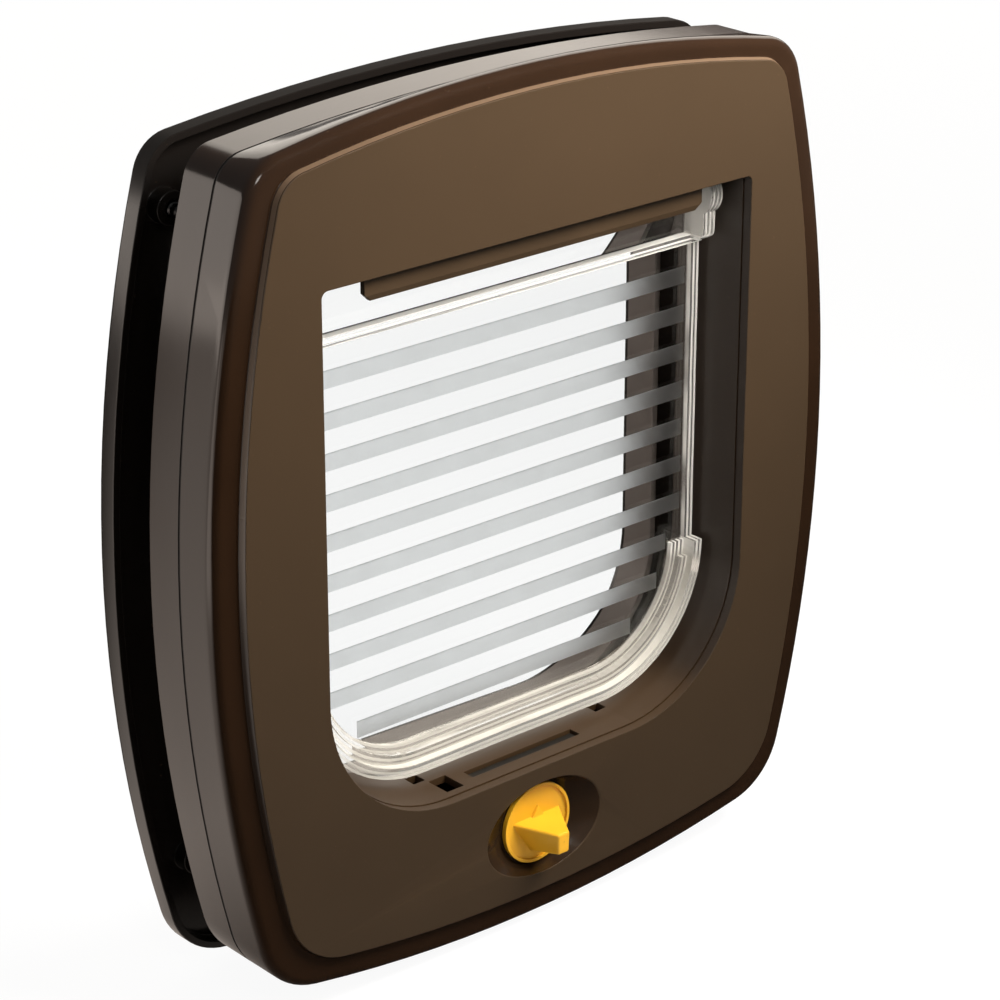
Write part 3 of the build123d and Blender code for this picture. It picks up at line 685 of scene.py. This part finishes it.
# %% Fixing screws tree
def fixing_screws():
    """Four threaded screws along Y."""
    tree = Builder("fixing screws")
    spread_x = tree.named("Spacing X", 177 * mm)
    spread_z = tree.named("Spacing Z", 184 * mm)
    core = tree.named("Core Radius", 1.6 * mm)
    crest = tree.named("Thread Height", 0.36 * mm)
    length = tree.named("Length", 26.2 * mm)
    pitch = tree.named("Thread Pitch", 1.4 * mm)
    head_radius = tree.named("Head Radius", 3.9 * mm)
    head = tree.named("Head Height", 2.4 * mm)
    seat_y = tree.named("Seat", -8.0 * mm)
    half = tree.math("MULTIPLY", length, 0.5)
    rod = {"Vertices": 16, "Radius": core, "Depth": length}
    shank = tree.node("GeometryNodeMeshCylinder", {}, rod)
    raised = tree.vector(0.0, 0.0, half)
    shank = tree.node("GeometryNodeTransform", {}, {"Geometry": shank, "Translation": raised})
    thread_length = tree.math("MULTIPLY", length, 0.96)
    spiral = tree.node(
        "GeometryNodeCurveSpiral",
        {},
        {
            "Resolution": 14,
            "Rotations": tree.math("DIVIDE", thread_length, pitch),
            "Start Radius": core,
            "End Radius": core,
            "Height": thread_length,
        },
    )
    profile = tree.node("GeometryNodeCurvePrimitiveCircle", {}, {"Resolution": 3, "Radius": crest})
    thread = tree.node(
        "GeometryNodeCurveToMesh", {}, {"Curve": spiral, "Profile Curve": profile, "Fill Caps": True}
    )
    cap = tree.node(
        "GeometryNodeMeshCone",
        {},
        {
            "Vertices": 24,
            "Side Segments": 2,
            "Radius Top": head_radius,
            "Radius Bottom": tree.math("MULTIPLY", head_radius, 0.8),
            "Depth": head,
        },
    )
    lowered = tree.vector(0.0, 0.0, tree.math("MULTIPLY", head, -1.0))
    cap = tree.node("GeometryNodeTransform", {}, {"Geometry": cap, "Translation": lowered})
    arm = tree.math("MULTIPLY", head_radius, 1.3)
    slit = tree.math("MULTIPLY", head_radius, 0.23)
    sunk = tree.vector(0.0, 0.0, tree.math("MULTIPLY", head, -1.1))
    bars = []
    for size in (tree.vector(arm, slit, head), tree.vector(slit, arm, head)):
        bar = tree.node("GeometryNodeMeshCube", {}, {"Size": size})
        bars.append(tree.node("GeometryNodeTransform", {}, {"Geometry": bar, "Translation": sunk}))
    cut = tree.node("GeometryNodeMeshBoolean", {"operation": "DIFFERENCE"}, {0: cap, 1: bars})
    screw = tree.node("GeometryNodeJoinGeometry", {}, {0: [shank, thread, cut]})
    grid = {"Size X": spread_x, "Size Y": spread_z, "Vertices X": 2, "Vertices Y": 2}
    corners = tree.node("GeometryNodeMeshGrid", {}, grid)
    seat = tree.vector(0.0, seat_y, 0.0)
    stand_up = {"Geometry": corners, "Translation": seat, "Rotation": (radians(90), 0, 0)}
    upright = tree.node("GeometryNodeTransform", {}, stand_up)
    laid_down = {"Points": upright, "Instance": screw, "Rotation": (radians(-90), 0, 0)}
    placed = tree.node("GeometryNodeInstanceOnPoints", {}, laid_down)
    return tree.close(placed, shaded_screw_steel)


grown_piece(fixing_screws(), "long_screws", "housing", "fixing_screws", radians(35))

# %% [markdown]
# ## Pieces that keep the model's mesh
#
# Lock parts and pins are hidden or tiny. Their shapes are right as they are, so they only get a
# finish. The Bevel node of the black plastic rounds the edges of the wheel and the plate in the
# shading, and the steel parts stay crisp.

# %% Finish the other nodes
kept = {
    "left_hinge_pin": steel_along_x,
    "right_hinge_pin": steel_along_x,
    "cam_wheel": lock_plastic,
    "guide_plate": lock_plastic,
    "knob_washer": steel_along_y,
    "knob_screw": steel_along_y,
    "guide_screws": steel_along_y,
    "leaf_spring": steel_along_x,
}
for node, material in kept.items():
    mesh = frame["nodes"][node].data
    mesh.materials.clear()
    mesh.materials.append(material)
print("kept as they are:", ", ".join(kept))

# %% [markdown]
# ## Floor and light
#
# A product photograph has a pale floor and soft lamps. Gloss mirrors what stands round the object,
# and a white floor alone would wash out the brown. So the floor is worked out twice. To the camera
# and through the clear flap it is white paper that glows a little and keeps the object's shadow. In
# a reflection, which the Light Path node's Glossy Depth tells, it is dark and glows only in four
# places, so that the rims and walls show bright streaks between dark ones.

# %% Floor
floor_gap = 0.1 * mm
floor_radius = 6.0
white = (1.0, 1.0, 1.0, 1.0)
warm_white = (1.0, 0.86, 0.76, 1.0)


def floor_reflection(finish):
    """Strength of the floor's glow in reflections, from the place on the floor in metres."""
    x = finish.along("X")
    y = finish.along("Y")
    away = x + y * 0.883
    behind = finish.step(y * 0.9 - x * 0.4, 0.0, 0.12)
    beside = finish.step(away, 0.0, -0.07)
    beyond = finish.step(away, 0.068, 0.080) * (1 - finish.step(away, 0.11, 0.14))
    ahead = finish.step(x * 0.66 - y * 0.75, 0.42, 0.80)
    level_with_door = 1 - finish.step(finish.math("ABSOLUTE", y), 0.12, 0.20)
    left = finish.step(x * -1.0, 0.34, 0.46) * level_with_door
    return 0.03 + ahead * 0.15 + left * 1.2 + behind * (beside * 1.1 + beyond * 0.5)


def floor_finish():
    """Pale paper with a very faint tooth, white when it is looked at and mostly dark in the gloss."""
    finish = Finish("pale_floor")
    tooth = finish.noise(2 * mm, 2.0)
    tone = finish.blend(tooth, (0.50, 0.50, 0.50, 1), (0.53, 0.53, 0.53, 1))
    paper = {"Base Color": tone, "Roughness": 0.9, "Specular IOR Level": 0.1}
    diffuse = finish.node("BsdfPrincipled", {}, paper)
    mirrored = finish.math("MINIMUM", finish.node("LightPath", output="Glossy Depth"), 1.0)
    by_camera = finish.node("LightPath", output="Is Camera Ray")
    through_flap = finish.node("LightPath", output="Is Transmission Ray")
    seen = (by_camera + through_flap) * (1 - mirrored)
    strength = seen * 1.17 + mirrored * floor_reflection(finish)
    tint = finish.blend(mirrored, white, warm_white)
    glow = finish.node("Emission", {}, {"Color": tint, "Strength": strength})
    share = finish.math("MINIMUM", seen * 0.80 + mirrored, 1.0)
    surface = finish.node("MixShader", {}, {0: share, 1: diffuse, 2: glow})
    return finish.close(surface)


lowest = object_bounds()[0][2]
floor_mesh = bpy.data.meshes.new("floor")
shape = bmesh.new()
bmesh.ops.create_circle(shape, cap_ends=True, segments=64, radius=floor_radius)
for corner in shape.verts:
    corner.co.z = lowest - floor_gap
shape.to_mesh(floor_mesh)
shape.free()
floor_mesh.materials.append(floor_finish())
floor = bpy.data.objects.new("floor", floor_mesh)
bpy.context.scene.collection.objects.link(floor)
floor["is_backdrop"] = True
print("floor at", round(lowest - floor_gap, 4), "m")

# %% [markdown]
# Area lamps stand in for soft boxes, and a pale world fills the shadows. The key lamp stands near
# the camera and above it. The high lamp hangs close to the door's upper half with a narrow spread,
# and gloss doesn't mirror it, so that it only lightens the panel's upper part. Two broad lamps stand
# behind the door, one on each side, and give the rims and edges their bright streaks.


# %% Lamps and world
def soft_box(name, place, width, height, power, target=(0, 0, 0), colour=(1.0, 0.96, 0.91)):
    """Rectangular lamp that faces the target and isn't seen itself; lengths in m, power in W."""
    data = bpy.data.lights.new(name, "AREA")
    data.shape = "RECTANGLE"
    data.size = width
    data.size_y = height
    data.energy = power
    data.color = colour
    lamp = bpy.data.objects.new(name, data)
    lamp.visible_camera = False
    lamp.visible_transmission = False
    bpy.context.scene.collection.objects.link(lamp)
    away = (Vector(place) - Vector(target)).normalized()
    lamp.matrix_world = Matrix.Translation(place) @ away.to_track_quat("Z", "Y").to_matrix().to_4x4()
    return lamp


soft_box("key_box", (-0.56, -1.02, 0.90), 0.30, 0.30, 2.8)
high_box = soft_box("high_box", (0.15, -0.22, 0.30), 0.36, 0.16, 2.3, (0, 0, 0.09))
high_box.visible_glossy = False
high_box.data.spread = radians(110)
soft_box("back_box", (1.05, 1.05, 0.75), 1.9, 0.9, 10.0, (0, 0, 0), (1.0, 0.93, 0.83))
soft_box("side_box", (-1.30, 1.30, 0.15), 1.6, 0.8, 8.5, (0, 0, 0.15), (1.0, 0.88, 0.79))

world_strength = 0.16
world = bpy.data.worlds.new("pale_world")
bpy.context.scene.world = world
world.use_nodes = True
world_nodes, world_links = world.node_tree.nodes, world.node_tree.links
world_nodes.clear()
sky = world_nodes.new("ShaderNodeBackground")
sky.inputs["Color"].default_value = white
sky.inputs["Strength"].default_value = world_strength
end = world_nodes.new("ShaderNodeOutputWorld")
world_links.new(sky.outputs[0], end.inputs["Surface"])

bpy.context.scene.view_settings.view_transform = "Standard"
print("lamps:", [data.name for data in bpy.data.lights])

# %% [markdown]
# ## Size of the dressed object
#
# Dressing must not change the object's size, so both boxes are gathered, and the dressed size is
# printed.

# %% Finish
visual_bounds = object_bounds()
sizes = {
    "cad": [list(map(float, corner)) for corner in cad_bounds],
    "visual": [list(map(float, corner)) for corner in visual_bounds],
}
print("size of the dressed object:", [round(b - a, 4) for a, b in zip(*sizes["visual"])])
